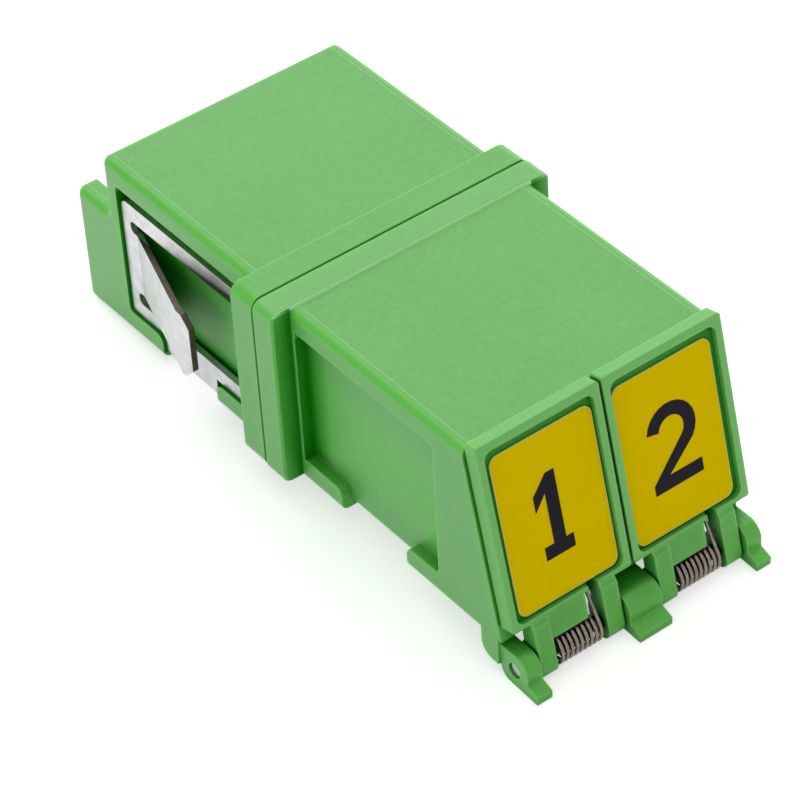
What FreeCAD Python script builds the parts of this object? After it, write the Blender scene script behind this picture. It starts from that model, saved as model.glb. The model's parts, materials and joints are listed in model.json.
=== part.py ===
"""Shuttered duplex fibre adapter in a single-port panel footprint.

Frame, in millimetres: the origin is the middle of the flange's rear face, which seats on the panel, at half
the body's height. +Z is up, the latch side of both ports. +Y runs back through the panel to the open ports,
and -Y runs forward to the shutters. +X is to the right for someone who faces the shutters.
"""
import FreeCAD, Part
import math
import os
import re

import Sketcher
from FreeCAD import Placement, Rotation, Vector

SIZES = {
    # Moulded body: the standard single-port footprint, in two halves that are welded at the flange.
    "body_width": 12.9,
    "body_height": 9.3,
    "edge_round": 0.38,
    "end_round": 0.25,
    # Flange: one layer on each half.
    "flange_width": 14.8,
    "flange_height": 9.3,
    "flange_lift": 0.12,
    "rear_layer": 1.6,
    "front_layer": 1.35,
    "rear_layer_round": 0.6,
    "front_layer_round": 0.45,
    "flange_chamfer": 0.09,
    "weld_groove_depth": 0.14,
    "weld_groove_width": 0.14,
    # Rear half, measured from the panel seat: its top is cut back so that fingers reach the plugs' latches.
    "rear_top_reach": 10.81,
    "rear_reach": 13.32,
    "ledge_height": 6.18,
    # Front half, measured from the flange's front face: the face leans, with its foot further forward.
    "front_top_reach": 11.25,
    "front_reach": 13.4,
    # Ports.
    "port_pitch": 6.25,
    "port_axis_drop": 0.65,
    "port_width": 4.6,
    "port_height": 4.6,
    "port_round": 0.2,
    "latch_width": 3.0,
    "latch_roof": 1.05,
    "catch_depth": 3.2,
    "catch_length": 3.0,
    "catch_step": 0.6,
    "catch_height": 1.3,
    "web_thickness": 0.9,
    # Split alignment sleeves and the bosses that hold them.
    "ferrule_diameter": 1.25,
    "sleeve_wall": 0.18,
    "sleeve_length": 6.8,
    "sleeve_slot": 0.3,
    "sleeve_play": 0.04,
    "sleeve_end_play": 0.1,
    "boss_wall": 0.45,
    "lip_length": 0.5,
    "lip_play": 0.08,
    "lead_in": 0.2,
    # Side recesses that take the clip, and the rails under them.
    "recess_depth": 0.6,
    "recess_roof": 1.05,
    "recess_round": 0.25,
    "rail_height": 1.2,
    "rail_round": 0.45,
    "recess_rib": 0.2,
    "rear_recess_reach": 9.89,
    "rear_rail_length": 3.3,
    "rear_gap_length": 4.1,
    "front_recess_reach": 9.36,
    "front_rail_length": 2.75,
    "front_gap_length": 4.45,
    # Sheet steel clip that wraps under the rear half.
    "clip_sheet": 0.3,
    "clip_bend": 0.2,
    "clip_side_play": 0.15,
    "clip_floor_play": 0.05,
    "clip_end_play": 0.1,
    "clip_headroom": 0.67,
    "clip_corner": 0.45,
    "window_rear_bar": 0.6,
    "window_front_bar": 0.9,
    "window_roof_bar": 0.9,
    "window_sill_bar": 0.75,
    "window_round": 0.3,
    "tab_slot": 0.63,
    "tab_slot_round": 0.26,
    "tab_stub": 0.45,
    "tab_angle": 17.5,
    "tab_length": 5.55,
    "tab_toe_length": 0.85,
    "tab_toe_chamfer": 0.55,
    # Hinge pin, and the lugs that hold it under the face.
    "pin_radius": 0.32,
    "pin_drop": 0.93,
    "pin_offset": 0.375,
    "pin_inset": 0.1,
    "lug_play": 0.05,
    "lug_radius": 0.87,
    "lug_front_round": 0.78,
    "lug_back": 1.04,
    "side_lug_width": 0.78,
    "middle_lug_width": 1.74,
    "ear_width": 0.12,
    "lug_root_reach": 1.95,
    "lug_root_drop": 1.13,
    "lug_root_round": 0.7,
    "foot_reach": 1.45,
    "foot_tip": 0.38,
    "foot_crease": 0.27,
    "foot_crease_reach": 0.84,
    "ear_clearance": 0.1,
    "relief_radius": 1.35,
    # Shutters.
    "shutter_parting": 0.16,
    "shutter_rise": 0.28,
    "shutter_foot": 1.98,
    "shutter_gap": 0.12,
    "shutter_thickness": 0.72,
    "shutter_round": 0.14,
    "side_rim": 0.34,
    "top_rim": 0.4,
    "bottom_rim": 0.2,
    "rim_depth": 0.26,
    "panel_round": 0.4,
    "arm_play": 0.14,
    "arm_width": 0.85,
    "arm_bump": 0.12,
    "arm_drop": 0.85,
    "arm_back": 0.6,
    "arm_front_round": 0.5,
    "arm_heel_round": 0.42,
    "arm_back_round": 0.18,
    "arm_root": 0.96,
    "arm_overlap": 0.1,
    "barrel_play": 0.03,
    "tongue_width": 1.95,
    "tongue_drop": 1.2,
    "coil_scoop": 0.1,
    "leg_notch": 0.38,
    "leg_slot_width": 0.5,
    "leg_slot_top": 3.7,
    # Torsion springs.
    "wire": 0.2,
    "coil_radius": 0.65,
    "coil_whole_turns": 8,
    "leg_play": 0.03,
    "leg_top": 3.4,
    # Labels.
    "label_wide_margin": 0.27,
    "label_narrow_margin": 0.11,
    "label_top_margin": 0.46,
    "label_thickness": 0.08,
    "label_round": 0.45,
    "label_foot_margin": 0.13,
}
LEFT, RIGHT = -1, 1

# Flats in one turn of a spring, and round its wire.
COIL_SEGMENTS = 12
WIRE_CORNERS = 5

# Places that follow from the sizes, as expressions of the sheet.
SIDE = "body_width / 2"
CEILING = "body_height / 2"
FLOOR = "-body_height / 2"
WELD = "-rear_layer"
FRONT_SEAT = "-(rear_layer + front_layer)"
LEDGE = f"({FLOOR} + ledge_height)"
LEAN = "atan((front_reach - front_top_reach) / body_height)"
PORT_X = "port_pitch / 2"
PORT_Z = "-port_axis_drop"
SLEEVE_RADIUS = "(ferrule_diameter / 2 + sleeve_wall)"
SLEEVE_REACH = "(sleeve_length / 2 + sleeve_end_play)"
PIN_Y = f"({FRONT_SEAT} - front_reach - (pin_offset + pin_drop * sin({LEAN})) / cos({LEAN}))"
PIN_Z = f"({FLOOR} - pin_drop)"
LUG_EDGE = f"({SIDE} - ear_width - side_lug_width)"

doc = FreeCAD.newDocument("FibreAdapter")
sheet = doc.addObject("Spreadsheet::Sheet", "Sizes")
for row, (name, size) in enumerate(SIZES.items(), start=1):
    sheet.set(f"A{row}", name)
    sheet.set(f"B{row}", str(size))
    sheet.setAlias(f"B{row}", name)
doc.recompute()


def value(expression):
    """The number that an expression of the sheet comes to."""
    result = sheet.evalExpression(str(expression))
    return float(getattr(result, "Value", result))


def bind(item, path, expression):
    """Tie one property of an object to an expression of the sheet."""
    known = lambda match: f"Sizes.{match[0]}" if match[0] in SIZES else match[0]
    item.setExpression(path, re.sub(r"[a-z_]+", known, str(expression)))


# Sketches ------------------------------------------------------------------------------------------------

def new_body(label):
    body = doc.addObject("PartDesign::Body", label)
    body.Label = label
    return body


def origin_plane(body, role):
    return next(item for item in body.Origin.OriginFeatures if item.Role == role)


def new_sketch(body, name, plane, height="0"):
    """A sketch on one of the body's origin planes, lifted along the plane's normal."""
    sketch = body.newObject("Sketcher::SketchObject", name)
    sketch.AttachmentSupport = [(origin_plane(body, plane), "")]
    sketch.MapMode = "FlatFace"
    sketch.AttachmentOffset = Placement(Vector(0, 0, value(height)), Rotation())
    bind(sketch, "AttachmentOffset.Base.z", height)
    return sketch


def pin_point(sketch, geometry, end, across, up):
    """Fix a point of the sketch at two expressions."""
    for kind, expression in (("DistanceX", across), ("DistanceY", up)):
        index = sketch.addConstraint(Sketcher.Constraint(kind, geometry, end, value(expression)))
        bind(sketch, f"Constraints[{index}]", expression)


def add_outline(sketch, corners):
    """A closed outline. Each corner is its two coordinates and, where it is round, its radius."""
    spots = [Vector(value(corner[0]), value(corner[1]), 0) for corner in corners]
    radii = [value(corner[2]) if len(corner) > 2 else 0 for corner in corners]
    count = len(corners)
    arrivals, departures = [], []
    for index, spot in enumerate(spots):
        back = (spots[index - 1] - spot).normalize()
        onward = (spots[(index + 1) % count] - spot).normalize()
        trim = radii[index] / math.tan(back.getAngle(onward) / 2) if radii[index] else 0
        arrivals.append(spot + back * trim)
        departures.append(spot + onward * trim)
    lines = [sketch.addGeometry(Part.LineSegment(departures[index], arrivals[(index + 1) % count]))
             for index in range(count)]
    for index, corner in enumerate(corners):
        arriving, leaving = lines[index - 1], lines[index]
        if not radii[index]:
            sketch.addConstraint(Sketcher.Constraint("Coincident", arriving, 2, leaving, 1))
            pin_point(sketch, leaving, 1, corner[0], corner[1])
            continue
        spot, start, finish = spots[index], arrivals[index], departures[index]
        inward = (start + finish) * 0.5 - spot
        centre = spot + inward.normalize() * math.hypot(radii[index], start.distanceToPoint(spot))
        left_turn = (start - centre).cross(finish - centre).z > 0
        first, last = (start, finish) if left_turn else (finish, start)
        angles = [math.atan2(end.y - centre.y, end.x - centre.x) for end in (first, last)]
        circle = Part.Circle(centre, Vector(0, 0, 1), radii[index])
        arc = sketch.addGeometry(Part.ArcOfCircle(circle, *angles))
        knot = sketch.addGeometry(Part.Point(spot), True)
        arc_start, arc_end = (1, 2) if left_turn else (2, 1)
        sketch.addConstraint(Sketcher.Constraint("Tangent", arriving, 2, arc, arc_start))
        sketch.addConstraint(Sketcher.Constraint("Tangent", arc, arc_end, leaving, 1))
        sketch.addConstraint(Sketcher.Constraint("PointOnObject", knot, 1, arriving))
        sketch.addConstraint(Sketcher.Constraint("PointOnObject", knot, 1, leaving))
        pin_point(sketch, knot, 1, corner[0], corner[1])
        radius = sketch.addConstraint(Sketcher.Constraint("Radius", arc, radii[index]))
        bind(sketch, f"Constraints[{radius}]", corner[2])


def add_circle(sketch, across, up, radius):
    circle = Part.Circle(Vector(value(across), value(up), 0), Vector(0, 0, 1), value(radius))
    geometry = sketch.addGeometry(circle)
    pin_point(sketch, geometry, 3, across, up)
    index = sketch.addConstraint(Sketcher.Constraint("Radius", geometry, value(radius)))
    bind(sketch, f"Constraints[{index}]", radius)


# Solids from sketches ------------------------------------------------------------------------------------

def add_feature(body, kind, sketch, length, symmetric=False, reverse=False):
    """A Pad or Pocket of a sketch: pads grow along the plane's normal, pockets cut against it."""
    feature = body.newObject(f"PartDesign::{kind}", f"{sketch.Label}{kind}")
    feature.Profile = sketch
    feature.SideType = "Symmetric" if symmetric else "One side"
    feature.Reversed = reverse
    feature.Length = value(length)
    bind(feature, "Length", length)
    return feature


def mirror_across(body, features):
    """Repeat features on the other side of the body's YZ plane."""
    mirrored = body.newObject("PartDesign::Mirrored", f"{body.Label}Mirror")
    mirrored.Originals = features
    mirrored.MirrorPlane = (origin_plane(body, "YZ_Plane"), [""])
    body.Tip = mirrored
    return mirrored


def dress_edges(body, kind, name, size, chosen):
    """Fillet or Chamfer the edges of the body's tip that pass a test of their middle point."""
    doc.recompute()
    base = body.Tip
    names = [f"Edge{index}" for index, edge in enumerate(base.Shape.Edges, start=1)
             if chosen(edge.valueAt((edge.FirstParameter + edge.LastParameter) / 2), edge)]
    dressing = body.newObject(f"PartDesign::{kind}", name)
    dressing.Base = (base, names)
    bind(dressing, "Radius" if kind == "Fillet" else "Size", size)
    return dressing


def rectangle(left, bottom, right, top, radius=None):
    """The corners of a rectangle, all four rounded where a radius is given."""
    corners = [(left, bottom), (right, bottom), (right, top), (left, top)]
    return [corner + (radius,) for corner in corners] if radius else corners


def near(first, second):
    return abs(first - second) < 0.001


# Moulded halves ------------------------------------------------------------------------------------------

def add_flange(body, seat, layer, reverse):
    """One layer of the flange, from its outer face at seat towards the weld, and a groove round the weld."""
    for name, inset, length in (("FlangeCore", "weld_groove_depth", layer),
                                ("Flange", "0", f"{layer} - weld_groove_width / 2")):
        sketch = new_sketch(body, f"{body.Label}{name}", "XZ_Plane", f"-({seat})")
        across = f"(flange_width / 2 - {inset})"
        low = f"(flange_lift - flange_height / 2 + {inset})"
        high = f"(flange_lift + flange_height / 2 - {inset})"
        add_outline(sketch, rectangle(f"-{across}", low, across, high, f"{layer}_round"))
        add_feature(body, "Pad", sketch, length, reverse=reverse)

    def outer_rim(middle, edge):
        on_face = near(middle.y, value(seat)) and near(edge.Vertexes[0].Y, edge.Vertexes[-1].Y)
        return on_face and max(abs(middle.x) - value(SIDE), middle.z - value(CEILING)) > 0.001
    dress_edges(body, "Chamfer", f"{body.Label}FlangeRim", "flange_chamfer", outer_rim)


def add_recesses(body, seat, way, reach, rail, gap):
    """A shallow recess in each side, open downwards between two rails, and a step across the underside."""
    along = lambda distance: f"({seat} + {way} * ({distance}))"
    start = along("recess_rib")
    foot = f"({FLOOR} + rail_height)"
    roof = f"({CEILING} - recess_roof)"
    below = f"({FLOOR} - 1)"
    near_rail, far_rail, end = along(rail), along(f"{rail} + {gap}"), along(reach)
    side = new_sketch(body, f"{body.Label}Recess", "YZ_Plane", f"{SIDE} - recess_depth")
    add_outline(side, [(start, roof), (start, foot), (near_rail, foot, "rail_round"), (near_rail, below),
                       (far_rail, below), (far_rail, foot, "rail_round"), (end, foot, "recess_round"),
                       (end, roof, "recess_round")])
    recess = add_feature(body, "Pocket", side, "2 * recess_depth", reverse=True)
    mirror_across(body, [recess])
    belly = new_sketch(body, f"{body.Label}Belly", "YZ_Plane")
    add_outline(belly, rectangle(near_rail, below, far_rail, f"({FLOOR} + clip_sheet + clip_floor_play)"))
    add_feature(body, "Pocket", belly, "2 * body_width", symmetric=True)


def add_ports(body, way, catch_end):
    """Two ports with their latch channels and catch pockets, and the bosses that hold the sleeves."""
    rearward = way == 1
    floor_of_port = f"({PORT_Z} - port_height / 2)"
    roof_of_port = f"({PORT_Z} + port_height / 2)"
    roof_of_latch = f"({CEILING} - latch_roof)"
    ports = new_sketch(body, f"{body.Label}Ports", "XZ_Plane", f"-({WELD} + {way} * web_thickness)")
    for side in (LEFT, RIGHT):
        port = lambda offset: f"({side} * {PORT_X} + {offset})"
        add_outline(ports, [(port("-port_width / 2"), floor_of_port, "port_round"),
                            (port("port_width / 2"), floor_of_port, "port_round"),
                            (port("port_width / 2"), roof_of_port, "port_round"),
                            (port("latch_width / 2"), roof_of_port),
                            (port("latch_width / 2"), roof_of_latch, "port_round"),
                            (port("-latch_width / 2"), roof_of_latch, "port_round"),
                            (port("-latch_width / 2"), roof_of_port),
                            (port("-port_width / 2"), roof_of_port, "port_round")])
    add_feature(body, "Pocket", ports, "rear_reach + front_reach", reverse=not rearward)

    catches = new_sketch(body, f"{body.Label}Catches", "XZ_Plane", f"-({catch_end})")
    for side in (LEFT, RIGHT):
        half = "(latch_width / 2 + catch_step)"
        add_outline(catches, rectangle(f"({side} * {PORT_X} - {half})", f"({roof_of_port} - port_round)",
                                       f"({side} * {PORT_X} + {half})", f"({roof_of_port} + catch_height)"))
    add_feature(body, "Pocket", catches, "catch_length", reverse=rearward)

    for name, kind, radius, length in (
            ("Boss", "Pad", f"({SLEEVE_RADIUS} + sleeve_play + boss_wall)", f"({SLEEVE_REACH} + lip_length)"),
            ("SleeveBore", "Pocket", f"({SLEEVE_RADIUS} + sleeve_play)", SLEEVE_REACH)):
        sketch = new_sketch(body, f"{body.Label}{name}", "XZ_Plane", f"-({WELD})")
        for side in (LEFT, RIGHT):
            add_circle(sketch, f"{side} * {PORT_X}", PORT_Z, radius)
        add_feature(body, kind, sketch, length, reverse=rearward if kind == "Pad" else not rearward)
    narrow, wide = "(ferrule_diameter / 2 + lip_play)", "(ferrule_diameter / 2 + lip_play + lead_in)"
    first, last = (wide, narrow) if rearward else (narrow, wide)
    cone_start = f"({WELD} + {way} * {SLEEVE_REACH} + {int(rearward)} * lip_length)"
    for side in (LEFT, RIGHT):
        cone = body.newObject("PartDesign::SubtractiveCone", f"{body.Label}LeadIn")
        cone.AttachmentSupport = [(origin_plane(body, "XZ_Plane"), "")]
        cone.MapMode = "FlatFace"
        bind(cone, "Radius1", first)
        bind(cone, "Radius2", last)
        bind(cone, "Height", "lip_length")
        bind(cone, ".AttachmentOffset.Base.x", f"{side} * {PORT_X}")
        bind(cone, ".AttachmentOffset.Base.y", PORT_Z)
        bind(cone, ".AttachmentOffset.Base.z", f"-{cone_start}")


def round_long_edges(body):
    """Round the moulded body's long edges, top and bottom, clear of the flange."""
    def long_edge(middle, edge):
        runs_along = abs(edge.Vertexes[0].Y - edge.Vertexes[-1].Y) > 1
        return runs_along and near(abs(middle.x), value(SIDE)) and near(abs(middle.z), value(CEILING))
    dress_edges(body, "Fillet", f"{body.Label}LongEdges", "edge_round", long_edge)


def rear_housing():
    body = new_body("rear_housing")
    profile = new_sketch(body, "RearProfile", "YZ_Plane")
    add_outline(profile, [(WELD, FLOOR), ("rear_reach", FLOOR, "end_round"),
                          ("rear_reach", LEDGE, "end_round"), ("rear_top_reach", LEDGE, "end_round"),
                          ("rear_top_reach", CEILING, "end_round"), (WELD, CEILING)])
    add_feature(body, "Pad", profile, "body_width", symmetric=True)
    round_long_edges(body)
    add_flange(body, "0", "rear_layer", reverse=False)
    add_recesses(body, "0", 1, "rear_recess_reach", "rear_rail_length", "rear_gap_length")
    add_ports(body, 1, "rear_top_reach - catch_depth")
    return body


def add_lugs(body):
    """Three lugs under the face, each a barrel round the pin with a root behind it and a foot ahead."""
    ahead = lambda distance: f"({PIN_Y} - {distance})"
    above = lambda distance: f"({PIN_Z} + {distance})"
    root_low = f"({FLOOR} - lug_root_drop)"
    under_flat = f"({FLOOR} + clip_sheet)"
    barrel_floor = above("-lug_radius")
    lug = [(ahead("-lug_root_reach"), under_flat),
           (ahead("-lug_root_reach"), root_low, "lug_root_round"),
           (ahead("-lug_radius"), root_low),
           (ahead("-lug_radius"), barrel_floor, "lug_front_round"),
           (ahead("foot_reach"), barrel_floor),
           (ahead("foot_reach"), f"({barrel_floor} + foot_tip)"),
           (ahead("foot_crease_reach"), above("-foot_crease")),
           (ahead("lug_radius"), above("lug_radius"), "lug_front_round"),
           (ahead("-lug_back"), above("lug_radius")),
           (ahead("-lug_back"), under_flat)]
    middle = new_sketch(body, "MiddleLug", "YZ_Plane")
    add_outline(middle, lug)
    add_feature(body, "Pad", middle, "middle_lug_width", symmetric=True)
    side = new_sketch(body, "SideLug", "YZ_Plane", LUG_EDGE)
    add_outline(side, lug)
    side_lug = add_feature(body, "Pad", side, "side_lug_width")
    ear = new_sketch(body, "Ear", "YZ_Plane", LUG_EDGE)
    ear_top = f"({FLOOR} + edge_round + ear_clearance)"
    add_outline(ear, [(ahead("-lug_root_reach"), ear_top),
                      (ahead("-lug_root_reach"), root_low, "lug_root_round"),
                      (ahead("-lug_radius"), root_low),
                      (ahead("-lug_radius"), ear_top)])
    ear_pad = add_feature(body, "Pad", ear, "side_lug_width + ear_width")
    mirror_across(body, [side_lug, ear_pad])
    bore = new_sketch(body, "PinBore", "YZ_Plane")
    add_circle(bore, PIN_Y, PIN_Z, "pin_radius + lug_play")
    add_feature(body, "Pocket", bore, "2 * body_width", symmetric=True)


def front_housing():
    body = new_body("front_housing")
    profile = new_sketch(body, "FrontProfile", "YZ_Plane")
    add_outline(profile, [(WELD, FLOOR), (WELD, CEILING), (f"({FRONT_SEAT} - front_top_reach)", CEILING),
                          (f"({FRONT_SEAT} - front_reach)", FLOOR)])
    add_feature(body, "Pad", profile, "body_width", symmetric=True)
    relief = new_sketch(body, "HingeRelief", "YZ_Plane")
    add_circle(relief, PIN_Y, PIN_Z, "relief_radius")
    add_feature(body, "Pocket", relief, "2 * body_width", symmetric=True)
    round_long_edges(body)
    add_flange(body, FRONT_SEAT, "front_layer", reverse=True)
    add_recesses(body, FRONT_SEAT, -1, "front_recess_reach", "front_rail_length", "front_gap_length")
    add_ports(body, -1, f"{FRONT_SEAT} - front_top_reach + catch_depth")
    add_lugs(body)
    return body


# Clip ----------------------------------------------------------------------------------------------------

def mounting_clip():
    """One strip of spring steel, wrapped under the rear half, with a tab lanced out of each side."""
    body = new_body("mounting_clip")
    inside = f"({SIDE} - recess_depth + clip_side_play)"
    outside = f"({inside} + clip_sheet)"
    start = "(recess_rib + clip_end_play)"
    end = "(rear_recess_reach - clip_end_play)"
    base = f"({FLOOR} + clip_floor_play)"
    roof = f"({CEILING} - recess_roof - clip_headroom)"
    sill = f"({FLOOR} + rail_height + clip_floor_play)"
    strap_start = "(rear_rail_length + clip_side_play)"
    strap_end = "(rear_rail_length + rear_gap_length - clip_end_play)"
    section = new_sketch(body, "ClipSection", "XZ_Plane", f"-({start})")
    add_outline(section, [(f"-{outside}", roof), (f"-{outside}", base, "clip_bend + clip_sheet"),
                          (outside, base, "clip_bend + clip_sheet"), (outside, roof), (inside, roof),
                          (inside, f"({base} + clip_sheet)", "clip_bend"),
                          (f"-{inside}", f"({base} + clip_sheet)", "clip_bend"), (f"-{inside}", roof)])
    add_feature(body, "Pad", section, f"{end} - {start}", reverse=True)

    trim = new_sketch(body, "ClipTrim", "YZ_Plane")
    for low, high in ((f"({start} - 1)", strap_start), (strap_end, f"({end} + 1)")):
        add_outline(trim, rectangle(low, f"({base} - 1)", high, sill))
    add_feature(body, "Pocket", trim, "2 * body_width", symmetric=True)

    front, rear = f"({start} + window_front_bar)", f"({end} - window_rear_bar)"
    low, high = f"({sill} + window_sill_bar)", f"({roof} - window_roof_bar)"
    tab_low, tab_high = f"({low} + tab_slot)", f"({high} - tab_slot)"
    tab_root = f"({rear} - tab_stub)"
    opening = new_sketch(body, "ClipWindow", "YZ_Plane")
    add_outline(opening, [(front, low, "window_round"), (rear, low, "tab_slot_round"),
                          (rear, tab_low, "tab_slot_round"), (tab_root, tab_low),
                          (tab_root, tab_high), (rear, tab_high, "tab_slot_round"),
                          (rear, high, "tab_slot_round"), (front, high, "window_round")])
    add_feature(body, "Pocket", opening, "2 * body_width", symmetric=True)

    corner_x = value(inside)
    dress_edges(body, "Fillet", "ClipCorners", "clip_corner", lambda middle, edge: (
        abs(middle.x) > corner_x and near(middle.z, value(roof))
        and near(abs(edge.Vertexes[0].X - edge.Vertexes[-1].X), value("clip_sheet"))))

    toe = f"({tab_root} - tab_length * cos(tab_angle))"
    tip = f"({toe} - tab_toe_length)"
    near_side = f"({inside} + tab_length * sin(tab_angle))"
    far_side = f"({outside} + tab_length * sin(tab_angle))"
    plan = new_sketch(body, "TabPlan", "XY_Plane", tab_low)
    add_outline(plan, [(inside, f"({tab_root} + clip_sheet)"), (inside, tab_root), (near_side, toe),
                       (near_side, tip), (far_side, tip), (far_side, toe), (outside, tab_root),
                       (outside, f"({tab_root} + clip_sheet)")])
    tab = add_feature(body, "Pad", plan, f"{tab_high} - {tab_low}")
    nose = new_sketch(body, "TabNose", "YZ_Plane", outside)
    beyond, heel = f"({tip} - tab_toe_length)", f"({tip} + tab_toe_chamfer)"
    for edge, way in ((tab_low, 1), (tab_high, -1)):
        clear = f"({edge} - {way} * tab_toe_length)"
        chamfered = f"({edge} + {way} * tab_toe_chamfer)"
        add_outline(nose, [(beyond, clear), (heel, clear), (heel, edge), (tip, chamfered),
                           (beyond, chamfered)])
    nose_cut = add_feature(body, "Pocket", nose, "2 * tab_length", reverse=True)
    mirror_across(body, [tab, nose_cut])
    return body


# Pin and sleeves -----------------------------------------------------------------------------------------

def add_cylinder(name, radius, length):
    cylinder = doc.addObject("Part::Cylinder", name)
    bind(cylinder, "Radius", radius)
    bind(cylinder, "Height", length)
    return cylinder


def move(item, **places):
    for axis, expression in places.items():
        bind(item, f".Placement.Base.{axis}", expression)


def hinge_pin():
    """One straight pin through all three lugs and both shutters."""
    pin = add_cylinder("hinge_pin", "pin_radius", f"2 * ({SIDE} - ear_width - pin_inset)")
    pin.Placement = Placement(Vector(), Rotation(Vector(0, 1, 0), 90))
    move(pin, x=f"-({SIDE} - ear_width - pin_inset)", y=PIN_Y, z=PIN_Z)
    return pin


def alignment_sleeve(label, side):
    """A ceramic tube, slit along the top, that lines up the two ferrules."""
    outer = add_cylinder(f"{label}Outer", SLEEVE_RADIUS, "sleeve_length")
    inner = add_cylinder(f"{label}Inner", "ferrule_diameter / 2", "sleeve_length")
    slit = doc.addObject("Part::Box", f"{label}Slit")
    bind(slit, "Length", "sleeve_slot")
    bind(slit, "Width", "2 * ferrule_diameter")
    bind(slit, "Height", "sleeve_length")
    move(slit, x="-sleeve_slot / 2")
    hollow = doc.addObject("Part::Cut", f"{label}Hollow")
    hollow.Base, hollow.Tool = outer, inner
    sleeve = doc.addObject("Part::Cut", label)
    sleeve.Base, sleeve.Tool = hollow, slit
    sleeve.Placement = Placement(Vector(), Rotation(Vector(1, 0, 0), 90))
    move(sleeve, x=f"{side} * {PORT_X}", y=f"{WELD} + sleeve_length / 2", z=PORT_Z)
    return sleeve


# Shutters: drawn upright about the pin, with -Y outwards, then leant back against the face ---------------

SHUTTER_BACK = "(pin_offset - shutter_gap)"
SHUTTER_FRONT = f"({SHUTTER_BACK} - shutter_thickness)"
SHUTTER_TOP = f"((pin_drop + pin_offset * sin({LEAN}) + body_height) / cos({LEAN}) + shutter_rise)"
SHUTTER_X = f"((middle_lug_width / 2 + {LUG_EDGE}) / 2)"
HALF_SHUTTER = f"({SHUTTER_X} - shutter_parting / 2)"
HALF_PANEL = f"({HALF_SHUTTER} - side_rim)"
PANEL_FOOT = "(shutter_foot + bottom_rim)"
PANEL_TOP = f"({SHUTTER_TOP} - top_rim)"
HALF_SPREAD = f"(({LUG_EDGE} - middle_lug_width / 2) / 2 - arm_play)"
COIL_LEFT = f"(-{HALF_SPREAD} + arm_width + leg_play + wire / 2)"
LEG_X = f"({HALF_SPREAD} - arm_width - leg_slot_width / 2)"


def lean_on_pin(item, side):
    """Place a piece that was drawn about the pin, at one shutter's middle."""
    item.Placement = Placement(Vector(), Rotation(Vector(-1, 0, 0), value(LEAN)))
    bind(item, ".Placement.Rotation.Angle", LEAN)
    move(item, x=f"{side} * {SHUTTER_X}", y=PIN_Y, z=PIN_Z)


def shutter(label, side):
    """A framed door with two arms on the pin, and a tongue between them that covers the spring."""
    body = new_body(label)
    frame = new_sketch(body, f"{label}Frame", "XZ_Plane", f"-({SHUTTER_BACK})")
    add_outline(frame, rectangle(f"-{HALF_SHUTTER}", "shutter_foot", HALF_SHUTTER, SHUTTER_TOP,
                                 "shutter_round"))
    add_feature(body, "Pad", frame, "shutter_thickness")
    panel = new_sketch(body, f"{label}Panel", "XZ_Plane", f"-({SHUTTER_FRONT})")
    add_outline(panel, rectangle(f"-{HALF_PANEL}", PANEL_FOOT, HALF_PANEL, PANEL_TOP, "panel_round"))
    add_feature(body, "Pocket", panel, "rim_depth")

    arm = new_sketch(body, f"{label}Arm", "YZ_Plane", f"{HALF_SPREAD} - arm_width")
    front, root = f"({SHUTTER_FRONT} - arm_bump)", "(shutter_foot + arm_overlap)"
    add_outline(arm, [(front, "(-arm_drop)", "arm_front_round"),
                      ("arm_back", "(-arm_drop)", "arm_heel_round"),
                      ("arm_back", "arm_back", "arm_back_round"), (SHUTTER_BACK, "arm_root"),
                      (SHUTTER_BACK, root), (SHUTTER_FRONT, root), (SHUTTER_FRONT, "shutter_foot"),
                      (front, "(shutter_foot - 2 * arm_bump)")])
    arm_pad = add_feature(body, "Pad", arm, "arm_width")
    mirror_across(body, [arm_pad])

    tongue = new_sketch(body, f"{label}Tongue", "XZ_Plane", f"-({SHUTTER_BACK})")
    tongue_left = f"(arm_width - {HALF_SPREAD})"
    add_outline(tongue, rectangle(tongue_left, "(shutter_foot - tongue_drop)",
                                  f"({tongue_left} + tongue_width)", root))
    add_feature(body, "Pad", tongue, "shutter_thickness")
    scoop = new_sketch(body, f"{label}Scoop", "YZ_Plane", tongue_left)
    add_circle(scoop, "0", "0", "coil_radius + wire / 2 + coil_scoop")
    add_feature(body, "Pocket", scoop, f"2 * ({HALF_SPREAD} - arm_width)", reverse=True)

    notch_left, notch_right = f"({LEG_X} - leg_slot_width / 2)", f"({LEG_X} + leg_slot_width / 2)"
    below = "(shutter_foot - leg_notch)"
    notch = new_sketch(body, f"{label}Notch", "XZ_Plane", f"-({SHUTTER_FRONT})")
    add_outline(notch, rectangle(notch_left, below, notch_right, "(shutter_foot + leg_notch)"))
    add_feature(body, "Pocket", notch, "shutter_thickness")
    slot = new_sketch(body, f"{label}Slot", "XZ_Plane", f"-({SHUTTER_BACK})")
    add_outline(slot, rectangle(notch_left, below, notch_right, "leg_slot_top"))
    add_feature(body, "Pocket", slot, "wire + 2 * leg_play", reverse=True)
    bore = new_sketch(body, f"{label}Bore", "YZ_Plane")
    add_circle(bore, "0", "0", "pin_radius + barrel_play")
    add_feature(body, "Pocket", bore, f"2 * {HALF_SHUTTER}", symmetric=True)
    lean_on_pin(body, side)
    return body


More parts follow.
